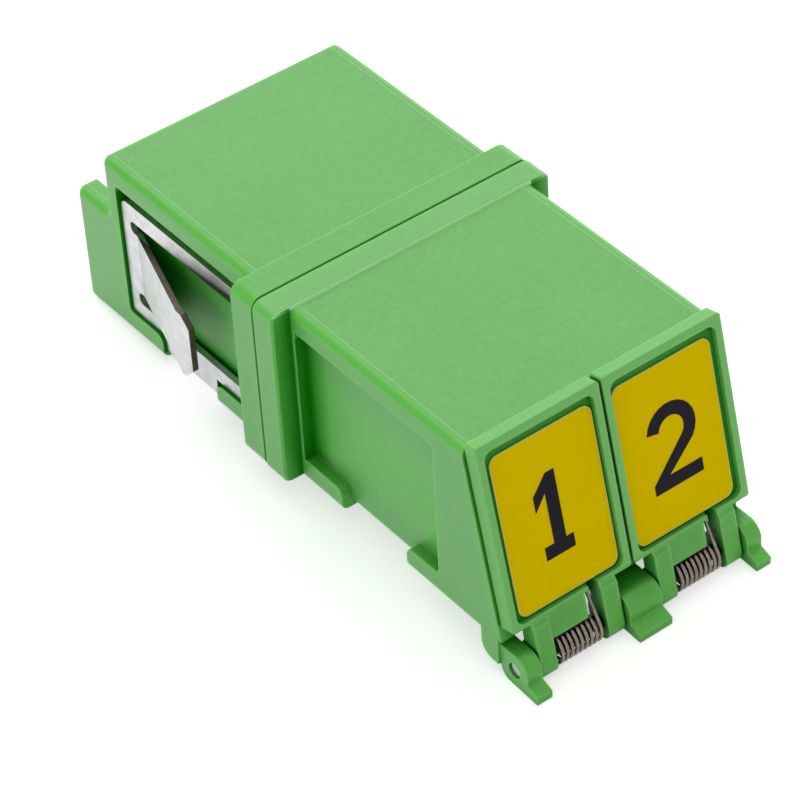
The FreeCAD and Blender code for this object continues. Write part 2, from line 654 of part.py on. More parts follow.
def torsion_spring(label, side):
    """A coil round the pin, with one leg up the shutter's back and one behind the pin against the body.

    A bent wire has no sketch: its cross-sections are placed here along the bend, by the sheet's sizes.
    """
    wire, radius = value("wire"), value("coil_radius")
    leg_x, coil_left = value(LEG_X), value(COIL_LEFT)
    bend = Vector(leg_x, value(SHUTTER_BACK) - value("leg_play") - wire / 2,
                  value("shutter_foot + leg_notch"))
    leave_angle = math.atan2(bend.z, bend.y) + math.acos(radius / math.hypot(bend.y, bend.z))
    sweep = 2 * math.pi * (value("coil_whole_turns") + 1) - leave_angle
    count = math.ceil(sweep / (2 * math.pi) * COIL_SEGMENTS)
    coil = [Vector(coil_left + (leg_x - coil_left) * step / count,
                   radius * math.cos(sweep * step / count), -radius * math.sin(sweep * step / count))
            for step in range(count + 1)]
    back_height = value("sqrt(relief_radius ^ 2 - (coil_radius + wire / 2) ^ 2) - leg_play")
    back_top = coil[0] + Vector(0, 0, back_height)
    spots = [back_top] + coil + [bend, Vector(leg_x, bend.y, value("leg_top"))]
    sections = []
    for before, spot, after in zip(spots[:1] + spots, spots, spots[1:] + spots[-1:]):
        along = (after - before).normalize()
        across = Vector(0, along.z, -along.y).normalize()
        normal = along.cross(across)
        turns = [2 * math.pi * corner / WIRE_CORNERS for corner in range(WIRE_CORNERS + 1)]
        sections.append(Part.makePolygon(
            [spot + (across * math.cos(turn) + normal * math.sin(turn)) * (wire / 2) for turn in turns]))
    spring = doc.addObject("Part::Feature", label)
    spring.Label = label
    spring.Shape = Part.makeLoft(sections, True, True)
    lean_on_pin(spring, side)
    return spring


def port_label(label, side, left_margin, right_margin):
    """A thin label stuck in the shutter's panel, set in from the panel's edges by its margins."""
    body = new_body(label)
    sketch = new_sketch(body, f"{label}Outline", "XZ_Plane", f"-({SHUTTER_FRONT} + rim_depth)")
    add_outline(sketch, rectangle(f"({left_margin} - {HALF_PANEL})", f"({PANEL_FOOT} + label_foot_margin)",
                                  f"({HALF_PANEL} - {right_margin})", f"({PANEL_TOP} - label_top_margin)",
                                  "label_round"))
    add_feature(body, "Pad", sketch, "label_thickness")
    lean_on_pin(body, side)
    return body


pieces = [
    rear_housing(),
    front_housing(),
    mounting_clip(),
    hinge_pin(),
    alignment_sleeve("left_sleeve", LEFT),
    alignment_sleeve("right_sleeve", RIGHT),
    shutter("left_shutter", LEFT),
    shutter("right_shutter", RIGHT),
    torsion_spring("left_spring", LEFT),
    torsion_spring("right_spring", RIGHT),
    port_label("left_label", LEFT, "label_wide_margin", "label_narrow_margin"),
    port_label("right_label", RIGHT, "label_narrow_margin", "label_wide_margin"),
]
doc.recompute()

for item in doc.Objects:
    if {"Invalid", "Error"} & set(item.State):
        raise RuntimeError(f"{item.Label} failed: {item.State}")
for piece in pieces:
    if piece.Shape.isNull() or not piece.Shape.isValid():
        raise RuntimeError(f"{piece.Label} has no valid shape")

os.makedirs("parts", exist_ok=True)
for piece in pieces:
    piece.Shape.exportStep(f"parts/{piece.Label}.step")
    box = piece.Shape.BoundBox
    print(f"{piece.Label}: {len(piece.Shape.Solids)} solid, {piece.Shape.Volume:.2f} mm3,"
          f" X {box.XMin:.2f} {box.XMax:.2f}, Y {box.YMin:.2f} {box.YMax:.2f},"
          f" Z {box.ZMin:.2f} {box.ZMax:.2f}")
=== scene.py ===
"""Looks for the shuttered duplex fibre adapter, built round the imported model, in metres."""

import json
import math

import bmesh
import bpy
from mathutils import Matrix, Vector


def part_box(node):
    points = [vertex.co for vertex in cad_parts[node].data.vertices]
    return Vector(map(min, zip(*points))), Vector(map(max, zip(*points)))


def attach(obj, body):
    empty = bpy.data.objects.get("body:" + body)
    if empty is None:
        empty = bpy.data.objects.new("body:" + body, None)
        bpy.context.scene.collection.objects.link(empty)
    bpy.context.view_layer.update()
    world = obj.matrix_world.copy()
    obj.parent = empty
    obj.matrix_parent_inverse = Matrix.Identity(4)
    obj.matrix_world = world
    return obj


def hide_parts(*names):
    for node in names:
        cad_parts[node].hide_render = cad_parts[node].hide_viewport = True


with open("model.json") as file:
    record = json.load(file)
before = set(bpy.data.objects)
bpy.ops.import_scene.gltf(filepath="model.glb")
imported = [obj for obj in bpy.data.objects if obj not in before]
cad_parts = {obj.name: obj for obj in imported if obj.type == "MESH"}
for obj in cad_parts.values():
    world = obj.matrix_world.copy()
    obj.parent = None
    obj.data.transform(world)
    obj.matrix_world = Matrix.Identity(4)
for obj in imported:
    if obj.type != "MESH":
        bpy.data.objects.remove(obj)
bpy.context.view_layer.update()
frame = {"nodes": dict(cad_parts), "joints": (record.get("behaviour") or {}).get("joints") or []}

MM = 0.001
DOORS = {"left": "left_door", "right": "right_door"}
HINGES = dict(zip(DOORS, (Vector(joint["pos_m"]) for joint in frame["joints"])))

# Places on the body, in millimetres: across from the middle, back through the panel (Y) and up (Z).
SIDE = 6.45
CEILING = 4.65
FRONT_SEAT = -2.95
MOULD_LINE = 5.93
FLOOR_OF_RECESS = 5.85
FOOT_OF_RECESS = -4.4
RECESS_RIB = 0.2
SILL = -2.1
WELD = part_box("front_housing")[1].y / MM
CLIP_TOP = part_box("mounting_clip")[1].z / MM
CLIP_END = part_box("mounting_clip")[1].y / MM
ROOF_BAR = 0.9
TAB_ROOT = 6.3
PIN_SHADE_REACH = 5.6
TOLERANCE = 0.05
SQUARE_ON = 0.9

# Sizes of the springs, in millimetres and in points along the wire.
WIRE_RADIUS = 0.088
COIL_RADIUS = 0.66
TURNS = 8.556
BACK_LEG = 1.0925
BEND_UP = 2.36
BEND_IN = 0.125
LEG_TOP = 3.4
LEG_INSET = 0.24
TURN_STEPS = 24
LEG_STEPS = 6
WIRE_SIDES = 10

# Sizes of the printed numerals, in millimetres.
FIGURE_HEIGHT = 3.9
STROKE = 0.62
INK_DEPTH = 0.03
INK_SINK = 0.01

# Edges broken by the mould, the press and the die, in millimetres.
HOUSING_EDGE = 0.11
SHUTTER_EDGE = 0.20
SHEET_EDGE = 0.04
LABEL_EDGE = 0.05

# Greens of the plastic: its grain, painted sheen on its sides, painted glow where it is thin or turned,
# painted highlights on its edges, flange layer and lines, painted shade behind the clip, its strokes, its
# rim painted lit, and painted shade in its depths.
GRAIN_DARK, GRAIN_LIGHT = (0.058, 0.39, 0.028), (0.116, 0.495, 0.070)
SIDE_SHEEN_GREEN = (0.135, 0.455, 0.118)
GLOW_GREEN = (0.105, 0.64, 0.024)
EDGE_HIGHLIGHT_GREEN = (0.38, 0.80, 0.32)
LIT_LAYER_GREEN = (0.20, 0.58, 0.17)
LINE_HIGHLIGHT_GREEN = (0.50, 0.95, 0.44)
SHADED_GREEN = (0.075, 0.50, 0.045)
STROKE_GREEN = (0.30, 0.62, 0.26)
LIT_RIM_GREEN = (0.24, 0.66, 0.18)
HOUSING_SHADE_GREEN = (0.0, 0.22, 0.0)
SHUTTER_SHADE_GREEN = (0.0, 0.20, 0.0)

# Colours of the clip: its sheet, its broken edges, painted shade standing in for its rolled-in lip, and its
# sheared edges.
SHEET_DARK, SHEET_LIGHT = (0.40, 0.40, 0.41), (0.78, 0.78, 0.80)
WORN_BROWN = (0.30, 0.25, 0.20)
LIP_SHADE_DARK = (0.045, 0.05, 0.045)
BURR_DARK, BURR_LIGHT = (0.06, 0.045, 0.035), (0.26, 0.22, 0.18)

# Light, floor and camera, in metres, watts and degrees.
AMBIENT = 0.50
KEY = {"place": (0.20, 0.27, 0.30), "size": (0.60, 0.60), "power": 1.55}
FILL = {"place": (-0.45, -0.05, 0.12), "size": (0.30, 0.30), "power": 0.33}
FLOOR_GLOW = 0.55
FLOOR_GAP = 0.02 * MM
FLOOR_REACH = 1.5
CAMERA_PLACE = Vector((-67.20, -95.50, 96.82)) * MM
CAMERA_AIM = Vector((0.436, 0.611, -0.661))
CAMERA_ROLL = -3.62
LENS = 158.35
SENSOR = 36.0


# Places --------------------------------------------------------------------------------------------------

def door_place(side):
    """The place of a shutter's own frame: origin on the pin, X across, Y up the face, Z out of it."""
    label = frame["nodes"][f"{side}_label"].data
    face = max(label.polygons, key=lambda polygon: polygon.area).normal
    tilt = math.atan2(abs(face.z), abs(face.y))
    up = Vector((0.0, math.sin(tilt), math.cos(tilt)))
    out = Vector((0.0, -math.cos(tilt), math.sin(tilt)))
    turn = Matrix((Vector((1.0, 0.0, 0.0)), up, out)).transposed()
    return Matrix.Translation(HINGES[side]) @ turn.to_4x4()


def in_door(side, node):
    """A node's corners in its shutter's own frame."""
    inward = door_place(side).inverted()
    return [inward @ vertex.co for vertex in frame["nodes"][node].data.vertices]


# Nodes ---------------------------------------------------------------------------------------------------

class Signal:
    """A number that varies over a surface or along a curve. Arithmetic on it adds Math nodes."""

    def __init__(self, tree, socket):
        self.tree = tree
        self.socket = socket

    def math(self, operation, first, second=None, clamp=False):
        node = self.tree.nodes.new("ShaderNodeMath")
        node.operation = operation
        node.use_clamp = clamp
        for slot, value in zip(node.inputs, (first, second)):
            if isinstance(value, Signal):
                self.tree.links.new(value.socket, slot)
            elif value is not None:
                slot.default_value = value
        return Signal(self.tree, node.outputs[0])

    def __add__(self, other):
        return self.math("ADD", self, other)

    def __sub__(self, other):
        return self.math("SUBTRACT", self, other)

    def __rsub__(self, other):
        return self.math("SUBTRACT", other, self)

    def __mul__(self, other):
        return self.math("MULTIPLY", self, other)

    def __truediv__(self, other):
        return self.math("DIVIDE", self, other)

    def __gt__(self, other):
        return self.math("GREATER_THAN", self, other)

    def __lt__(self, other):
        return self.math("LESS_THAN", self, other)

    def clamped(self):
        return self.math("ADD", self, 0.0, clamp=True)

    def size(self):
        return self.math("ABSOLUTE", self)

    def near(self, value, reach):
        return (self - value).size() < reach

    def between(self, low, high):
        return (self > low) * (self < high)

    def root(self):
        return self.math("SQRT", self)

    def cosine(self):
        return self.math("COSINE", self)

    def sine(self):
        return self.math("SINE", self)

    __radd__ = __add__
    __rmul__ = __mul__


class Nodes:
    """A node tree, to which any node is added by its type, its settings and its sockets' values."""

    def __init__(self, tree):
        self.tree = tree

    def node(self, kind, settings=None, values=None):
        node = self.tree.nodes.new(kind)
        for name, setting in (settings or {}).items():
            setattr(node, name, setting)
        for name, value in (values or {}).items():
            self.feed(node, name, value)
        return node

    def feed(self, node, name, value):
        if isinstance(value, Signal):
            value = value.socket
        if isinstance(value, bpy.types.NodeSocket):
            self.tree.links.new(value, node.inputs[name])
        else:
            node.inputs[name].default_value = value

    def signal(self, kind, output, settings=None, values=None):
        return Signal(self.tree, self.node(kind, settings, values).outputs[output])

    def seen_by(self, *kinds):
        """1 for rays of the kinds named, such as Camera or Glossy, and 0 for the rest."""
        rays = self.node("ShaderNodeLightPath").outputs
        return sum(Signal(self.tree, rays[f"Is {kind} Ray"]) for kind in kinds).clamped()


class Finish(Nodes):
    """One material: a Principled shader, and the nodes that vary it."""

    def __init__(self, name, color, **shader):
        self.material = bpy.data.materials.new(name)
        self.material.use_nodes = True
        super().__init__(self.material.node_tree)
        self.tree.nodes.clear()
        self.output = self.node("ShaderNodeOutputMaterial")
        sockets = {words.replace("_", " "): value for words, value in shader.items()}
        self.shader = self.node("ShaderNodeBsdfPrincipled", {}, {"Base Color": (*color, 1.0), **sockets})
        self.feed(self.output, "Surface", self.shader.outputs["BSDF"])
        self.place = self.node("ShaderNodeTexCoord").outputs["Object"]

    def noise(self, cells_per_mm, stretch=(1.0, 1.0, 1.0), detail=2.0, roughness=0.5):
        """Noise from 0 to 1, so many cells to the millimetre, drawn out along an axis by stretch."""
        scale = tuple(cells_per_mm / MM / part for part in stretch)
        spread = self.node("ShaderNodeMapping", {}, {"Vector": self.place, "Scale": scale})
        return self.signal("ShaderNodeTexNoise", "Fac", {}, {
            "Vector": spread.outputs[0], "Scale": 1.0, "Detail": detail, "Roughness": roughness})

    def blend(self, amount, first, second):
        """A colour between two, where amount is 0 and where it is 1."""
        mix = self.node("ShaderNodeMix", {"data_type": "RGBA"}, {"Factor": amount})
        for name, color in (("A", first), ("B", second)):
            socket = [item for item in mix.inputs if item.name == name and item.type == "RGBA"][0]
            if isinstance(color, bpy.types.NodeSocket):
                self.tree.links.new(color, socket)
            else:
                socket.default_value = (*color, 1.0)
        return [item for item in mix.outputs if item.type == "RGBA"][0]

    def set(self, name, value):
        self.feed(self.shader, name, value)

    def dull(self, amount, color):
        """Painted shade: lose the shine and take a flat dark colour where amount is 1, in deep places."""
        matt = self.node("ShaderNodeBsdfDiffuse", {}, {"Color": (*color, 1.0)})
        layers = {0: amount, 1: self.shader.outputs["BSDF"], 2: matt.outputs["BSDF"]}
        self.feed(self.output, "Surface", self.node("ShaderNodeMixShader", {}, layers).outputs["Shader"])

    def rounded(self, radius_mm):
        """The surface's direction where every sharp edge is broken by a small radius."""
        return self.node("ShaderNodeBevel", {"samples": 6}, {"Radius": radius_mm * MM}).outputs["Normal"]

    def edges(self, rounded, gain):
        """1 along the broken edges and 0 on the flats."""
        facing = self.dot(rounded, self.node("ShaderNodeNewGeometry").outputs["True Normal"])
        return ((1.0 - facing * facing).clamped().root() * gain).clamped()

    def dot(self, first, second):
        return self.signal("ShaderNodeVectorMath", "Value", {"operation": "DOT_PRODUCT"},
                           {0: first, 1: second})

    def facing(self, axis):
        """How far the surface faces along X, Y or Z, from 0 to 1."""
        direction = self.node("ShaderNodeTexCoord").outputs["Normal"]
        return self.signal("ShaderNodeSeparateXYZ", axis, {}, {"Vector": direction}).size()

    def along(self, axis):
        """The place along X, Y or Z of the frame, in millimetres."""
        return self.signal("ShaderNodeSeparateXYZ", axis, {}, {"Vector": self.place}) / MM

    def on_door(self, axis):
        """The place along X, Y or Z of a shutter's own frame, in millimetres."""
        place = door_place("left")
        direction = place.to_3x3().col["XYZ".index(axis)]
        return (self.dot(self.place, direction) - direction.dot(place.translation)) / MM

    def crevices(self, reach_mm, inside=False):
        """1 deep in grooves and corners and 0 on open flats, or 1 where the solid behind is thin."""
        settings = {"samples": 8, "inside": inside}
        return 1.0 - self.signal("ShaderNodeAmbientOcclusion", "AO", settings, {"Distance": reach_mm * MM})

    def raise_by(self, height, depth_mm, rounded=None):
        """Bump the surface by a height signal of so many millimetres."""
        values = {"Height": height, "Distance": depth_mm * MM, "Strength": 1.0}
        if rounded is not None:
            values["Normal"] = rounded
        self.set("Normal", self.node("ShaderNodeBump", {}, values).outputs["Normal"])


# Finishes ------------------------------------------------------------------------------------------------

class MouldedPlastic(Finish):
    """Satin bright green plastic: a spark-eroded grain, painted sheen on its sides, painted glow where it
    is thin or turned, painted highlights on its edges and painted shade in its grooves.
    """

    def __init__(self, name, edge_mm):
        super().__init__(name, (0.09, 0.45, 0.05), Roughness=0.42, Subsurface_Weight=0.12,
                         Subsurface_Radius=(0.3, 1.0, 0.2), Subsurface_Scale=0.5 * MM,
                         Sheen_Weight=0.12, Sheen_Roughness=0.5)
        self.edge = self.rounded(edge_mm)
        self.grain = self.noise(9.0, detail=3.0)
        self.fleck = self.noise(2.6, detail=4.0, roughness=0.75)
        drift = self.noise(0.22)
        tone = (0.2 * drift + 0.5 * self.fleck + 0.3 * self.grain - 0.5) * 2.6 + 0.5
        self.shade = self.blend(tone.clamped(), GRAIN_DARK, GRAIN_LIGHT)
        turned = (self.facing("X") * self.facing("Z") * 3.0).clamped()
        thin = self.crevices(0.6, inside=True)
        # Painted sheen: faces square to the sides take a greyer green.
        self.tint((self.facing("X") > SQUARE_ON) * 0.6, SIDE_SHEEN_GREEN)
        # Painted glow: thin parts and the turned bands between top and sides take a livelier, brighter
        # green.
        self.tint((0.6 * turned + 0.8 * thin).clamped() * 0.7, GLOW_GREEN)
        # Painted highlight along the broken edges.
        self.tint(self.edges(self.edge, 1.5) * 0.6, EDGE_HIGHLIGHT_GREEN)
        # Painted shade in grooves and corners, laid on by finished().
        self.groove = (self.crevices(1.5) * 1.6 - 0.42).clamped()

    def tint(self, amount, color):
        """Shade the plastic towards a colour, by an amount from 0 to 1."""
        self.shade = self.blend(amount, self.shade, color)

    def finished(self, depth, shade_color):
        """The material: its colour, its grain, and painted shade, a dull dark colour, where depth is 1."""
        self.set("Base Color", self.shade)
        self.set("Roughness", 0.34 + 0.12 * self.grain)
        self.dull(depth, shade_color)
        self.raise_by(0.6 * self.grain + 0.4 * self.fleck, 0.022, self.edge)
        return self.material


def body_plastic():
    """The housings' green, with painted light on its flange and mould lines, and painted shade in its
    recesses.
    """
    finish = MouldedPlastic("moulded_green", HOUSING_EDGE)
    across, reach, height = finish.along("X").size(), finish.along("Y"), finish.along("Z")
    sideways = finish.facing("X") > SQUARE_ON

    # Painted light: the flange's front layer is painted paler, with a painted highlight along its step. A
    # thin painted highlight runs along the mould line of each top edge.
    layer = reach.between(FRONT_SEAT - 0.03, WELD) * (height > CEILING - TOLERANCE)
    step = layer * (reach < FRONT_SEAT + 0.08)
    mould_line_highlight = across.near(MOULD_LINE, 0.04) * (finish.facing("Z") > 0.95) * (height < CEILING + 0.03)
    finish.tint(layer * 0.30, LIT_LAYER_GREEN)
    finish.tint((step * 0.85 + mould_line_highlight * 0.14).clamped(), LINE_HIGHLIGHT_GREEN)

    # Painted shade: the recesses are painted deep green on their walls, in the nook before the flange and
    # in their front corner, as in every groove.
    seam = reach.near(WELD, 0.12)
    nook = reach.near(FRONT_SEAT, TOLERANCE) * (across > SIDE - TOLERANCE)
    nook = nook * ((SIDE + 0.9 - across) / 0.8).clamped()
    wall = across.between(FLOOR_OF_RECESS - 0.03, SIDE - 0.02) * (finish.facing("X") < SQUARE_ON)
    wall = wall * height.between(FOOT_OF_RECESS, CLIP_TOP + 0.3) * (reach < CLIP_END + 0.3)
    wall = wall * ((reach > 0.5) + reach.near(FRONT_SEAT - RECESS_RIB - 0.02, 0.12))
    sunk = across.near(FLOOR_OF_RECESS, TOLERANCE) * sideways
    corner = sunk * (reach < FRONT_SEAT) * ((reach - FRONT_SEAT) / 1.3 + 1.15).clamped()
    groove = finish.groove * (1.0 - 0.5 * seam) * (1.0 - step)
    groove = (groove + 0.9 * nook + 0.75 * wall + 0.9 * corner).clamped()

    # Painted shade: behind the clip the floor is a livelier shaded green, with fine strokes, and painted
    # dark in its upper front and at its foot.
    behind = sunk * (reach > 0.0)
    strokes = ((finish.noise(7.0, stretch=(1.0, 9.0, 1.0), detail=3.0) - 0.45) * 4.0).clamped()
    deep = 0.7 * (((reach + height) / 4.0 - 1.15).clamped() + ((SILL - height) / 0.5).clamped())
    deep = (deep + (height > CLIP_TOP)).clamped()
    finish.tint(behind * 0.75, SHADED_GREEN)
    finish.tint(behind * strokes * 0.30, STROKE_GREEN)
    return finish.finished((groove + behind * deep).clamped() * 0.92, HOUSING_SHADE_GREEN)


def door_plastic():
    """The shutters' green: a rim painted paler as lit, and painted shade round the label, at the panel's
    level.
    """
    finish = MouldedPlastic("shutter_green", SHUTTER_EDGE)
    corners = in_door("left", "left_label")
    panel = min(corner.z for corner in corners) / MM
    foot = min(corner.y for corner in corners) / MM
    direction = finish.node("ShaderNodeTexCoord").outputs["Normal"]
    outward = finish.dot(direction, door_place("left").col[2].to_3d())
    height = finish.on_door("Z")
    above = finish.on_door("Y") > foot - 0.2
    # Painted shade: a dark band on the panel round the label.
    label_shade = height.near(panel, 0.03) * above * (outward > 0.8)
    # Painted highlight: the rim, proud of the panel, is painted paler.
    finish.tint((height > panel + 0.2) * above * 0.45, LIT_RIM_GREEN)
    return finish.finished((finish.groove * 0.92 + label_shade * 0.62).clamped(), SHUTTER_SHADE_GREEN)


def rolled_steel():
    """Bright rolled sheet: fine lines, a mottle, brown sheared edges and painted shade standing in for a
    rolled-in lip.
    """
    finish = Finish("rolled_steel", (0.58, 0.58, 0.59), Metallic=1.0, Roughness=0.34)
    rounded = finish.rounded(SHEET_EDGE)
    lines = finish.noise(14.0, stretch=(1.0, 18.0, 1.0))
    mottle = finish.noise(1.8, detail=6.0, roughness=0.72)
    tone = ((0.3 * lines + 0.7 * mottle - 0.5) * 1.9 + 0.5).clamped()
    sheet = finish.blend(tone, SHEET_DARK, SHEET_LIGHT)
    sheet = finish.blend(finish.edges(rounded, 3.0) * 0.6, sheet, WORN_BROWN)
    reach, height = finish.along("Y"), finish.along("Z")
    above = height - (CLIP_TOP - ROOF_BAR)
    # Painted shade: dark along the top strip's lower edge, standing in for a rolled-in lip that is not
    # modelled.
    lip = ((0.72 - 0.1 * reach - above) / 0.22).clamped() * (above > -0.05)
    sheet = finish.blend(lip * 0.9, sheet, LIP_SHADE_DARK)
    sheared = (finish.facing("X") < 0.6) * (finish.along("X").size() > TAB_ROOT)
    burr = finish.blend(finish.noise(8.0, detail=4.0), BURR_DARK, BURR_LIGHT)
    finish.set("Base Color", finish.blend(sheared, sheet, burr))
    finish.set("Roughness", 0.26 + 0.16 * mottle + 0.08 * lines)
    finish.raise_by(0.4 * lines + 0.6 * mottle, 0.014, rounded)
    return finish.material


def drawn_steel(name, dark, light, bright_beyond=0.0):
    """Drawn wire or pin: a fine mottle from the die, and painted shade, near-black, as far out as its
    bright ends.
    """
    finish = Finish(name, light, Metallic=1.0, Roughness=0.35)
    mottle = finish.noise(5.0, detail=4.0, roughness=0.6)
    # Painted shade: the pin's middle, inside the coils, is near-black; its ends stay bright.
    shaded_middle = finish.along("X").size() < bright_beyond
    finish.set("Base Color", finish.blend(shaded_middle, finish.blend(mottle, dark, light), (0.03, 0.025, 0.02)))
    finish.set("Roughness", 0.20 + 0.2 * mottle)
    finish.raise_by(mottle, 0.003)
    return finish.material


def ground_ceramic():
    """Off-white ground sleeve with a soft cloudiness."""
    finish = Finish("ground_ceramic", (0.86, 0.86, 0.83), Roughness=0.22)
    cloud = finish.noise(1.5, detail=3.0)
    finish.set("Base Color", finish.blend(cloud, (0.82, 0.82, 0.78), (0.90, 0.90, 0.88)))
    finish.set("Roughness", 0.18 + 0.1 * cloud)
    return finish.material


def label_stock():
    """Yellow coated label: a faint paper tooth under a thin film, and a paler cut edge."""
    finish = Finish("label_yellow", (0.92, 0.66, 0.0), Roughness=0.45, Specular_IOR_Level=0.0)
    rounded = finish.rounded(LABEL_EDGE)
    tooth = finish.noise(5.0, detail=4.0, roughness=0.7)
    cloud = finish.noise(0.35)
    tone = (0.6 * tooth + 0.4 * cloud).clamped()
    face = finish.blend(tone, (0.86, 0.61, 0.0), (0.97, 0.71, 0.0))
    finish.set("Base Color", finish.blend(finish.edges(rounded, 5.0), face, (0.95, 0.93, 0.62)))
    finish.set("Roughness", 0.38 + 0.12 * tooth)
    finish.raise_by(tooth, 0.004, rounded)
    return finish.material


def printing_ink():
    """Near-black ink, a little uneven in its gloss."""
    finish = Finish("port_ink", (0.008, 0.006, 0.014), Roughness=0.5, Specular_IOR_Level=0.08)
    blot = finish.noise(6.0, detail=3.0)
    finish.set("Base Color", finish.blend(blot, (0.006, 0.005, 0.012), (0.014, 0.011, 0.022)))
    finish.set("Roughness", 0.34 + 0.14 * blot)
    return finish.material


GREEN = body_plastic()
DOOR_GREEN = door_plastic()
SHEET = rolled_steel()
PIN = drawn_steel("pin_steel", (0.36, 0.36, 0.36), (0.60, 0.60, 0.60), bright_beyond=PIN_SHADE_REACH)
WIRE = drawn_steel("spring_wire", (0.10, 0.08, 0.065), (0.36, 0.31, 0.265))
CERAMIC = ground_ceramic()
YELLOW = label_stock()
INK = printing_ink()

FINISHES = {
    "rear_housing": GREEN, "front_housing": GREEN, "left_shutter": DOOR_GREEN, "right_shutter": DOOR_GREEN,
    "mounting_clip": SHEET, "hinge_pin": PIN, "left_spring": WIRE, "right_spring": WIRE,
    "left_sleeve": CERAMIC, "right_sleeve": CERAMIC, "left_label": YELLOW, "right_label": YELLOW,
}
for node, material in FINISHES.items():
    mesh = frame["nodes"][node].data
    mesh.materials.clear()
    mesh.materials.append(material)


# Shutter pieces ------------------------------------------------------------------------------------------

def spring_tree():
    """Nodes that wind a torsion spring round X: its turns, a short back leg and a bent front leg."""
    tree = bpy.data.node_groups.new("torsion_spring", "GeometryNodeTree")
    tree.interface.new_socket(name="Spring", in_out="OUTPUT", socket_type="NodeSocketGeometry")
    names = ("Wire Radius", "Coil Radius", "Turns", "Coil Start", "Coil End", "Back Leg",
             "Bend Up", "Bend Out", "Leg Top")
    for name in names:
        tree.interface.new_socket(name=name, in_out="INPUT", socket_type="NodeSocketFloat")
    nodes = Nodes(tree)
    entry = nodes.node("NodeGroupInput")
    size = {name: Signal(tree, entry.outputs[name]) for name in names}
    steps = size["Turns"] * TURN_STEPS
    count = steps + 3.0 * LEG_STEPS
    index = nodes.signal("GeometryNodeInputIndex", "Index")
    back = (1.0 - index / LEG_STEPS).clamped()
    along = ((index - LEG_STEPS) / steps).clamped()
    bend = ((index - (steps + LEG_STEPS)) / LEG_STEPS).clamped()
    rise = ((index - (steps + 2.0 * LEG_STEPS)) / LEG_STEPS).clamped()
    angle = along * size["Turns"] * math.tau
    end_angle = size["Turns"] * math.tau
    end_up = -1.0 * size["Coil Radius"] * end_angle.sine()
    end_out = -1.0 * size["Coil Radius"] * end_angle.cosine()
    across = size["Coil Start"] + along * (size["Coil End"] - size["Coil Start"])
    up = (-1.0 * size["Coil Radius"] * angle.sine() + back * size["Back Leg"]
          + bend * (size["Bend Up"] - end_up) + rise * (size["Leg Top"] - size["Bend Up"]))
    out = -1.0 * size["Coil Radius"] * angle.cosine() + bend * (size["Bend Out"] - end_out)
    point = nodes.node("ShaderNodeCombineXYZ", {}, {"X": across, "Y": up, "Z": out})
    line = nodes.node("GeometryNodeCurvePrimitiveLine", {}, {"End": (1.0, 0.0, 0.0)})
    dots = nodes.node("GeometryNodeResampleCurve", {"mode": "COUNT"}, {
        "Curve": line.outputs["Curve"], "Count": count + 1.0})
    path = nodes.node("GeometryNodeSetPosition", {}, {
        "Geometry": dots.outputs["Curve"], "Position": point.outputs["Vector"]})
    ring = nodes.node("GeometryNodeCurvePrimitiveCircle", {}, {
        "Resolution": WIRE_SIDES, "Radius": size["Wire Radius"]})
    wire = nodes.node("GeometryNodeCurveToMesh", {}, {
        "Curve": path.outputs["Geometry"], "Profile Curve": ring.outputs["Curve"], "Fill Caps": True})
    smooth = nodes.node("GeometryNodeSetShadeSmooth", {}, {"Geometry": wire.outputs["Mesh"]})
    real = nodes.node("GeometryNodeRealizeInstances", {}, {"Geometry": smooth.outputs["Geometry"]})
    dressed = nodes.node("GeometryNodeSetMaterial", {}, {
        "Geometry": real.outputs["Geometry"], "Material": WIRE})
    nodes.node("NodeGroupOutput", {}, {"Spring": dressed.outputs["Geometry"]})
    return tree


def link(name, data):
    """A new object in the scene that shows a mesh, a lamp or a camera."""
    piece = bpy.data.objects.new(name, data)
    bpy.context.scene.collection.objects.link(piece)
    return piece


def plain_mesh(maker, name, place):
    """The maker's evaluated shape as a mesh of its own, put in its place; the maker is removed."""
    bpy.context.view_layer.update()
    graph = bpy.context.evaluated_depsgraph_get()
    mesh = bpy.data.meshes.new_from_object(maker.evaluated_get(graph))
    bpy.data.objects.remove(maker)
    mesh.name = name
    shape = bmesh.new()
    shape.from_mesh(mesh)
    bmesh.ops.remove_doubles(shape, verts=shape.verts, dist=1e-4 * MM)
    bmesh.ops.transform(shape, matrix=place, verts=shape.verts)
    bmesh.ops.recalc_face_normals(shape, faces=shape.faces)
    shape.to_mesh(mesh)
    shape.free()
    return mesh


def wind_spring(side, tree):
    """A torsion spring on the pin, its front leg up the slot of the shutter."""
    low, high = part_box(f"{side}_spring")
    middle = HINGES[side].x
    sizes = {
        "Wire Radius": WIRE_RADIUS * MM, "Coil Radius": COIL_RADIUS * MM, "Turns": TURNS,
        "Coil Start": low.x + WIRE_RADIUS * MM - middle, "Coil End": high.x - LEG_INSET * MM - middle,
        "Back Leg": BACK_LEG * MM, "Bend Up": BEND_UP * MM, "Bend Out": -BEND_IN * MM,
        "Leg Top": LEG_TOP * MM,
    }
    maker = link("winding", bpy.data.meshes.new("winding"))
    winding = maker.modifiers.new("winding", "NODES")
    winding.node_group = tree
    for socket in tree.interface.items_tree:
        if socket.in_out == "INPUT":
            winding[socket.identifier] = sizes[socket.name]
    piece = link(f"{side}_coil", plain_mesh(maker, f"{side}_coil", door_place(side)))
    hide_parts(f"{side}_spring")
    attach(piece, DOORS[side])


def arc(middle, radius, start, end, steps=14):
    """Points on an arc in a plane, its angles in degrees."""
    angles = [math.radians(start + (end - start) * step / steps) for step in range(steps + 1)]
    return [(middle[0] + radius * math.cos(angle), middle[1] + radius * math.sin(angle))
            for angle in angles]


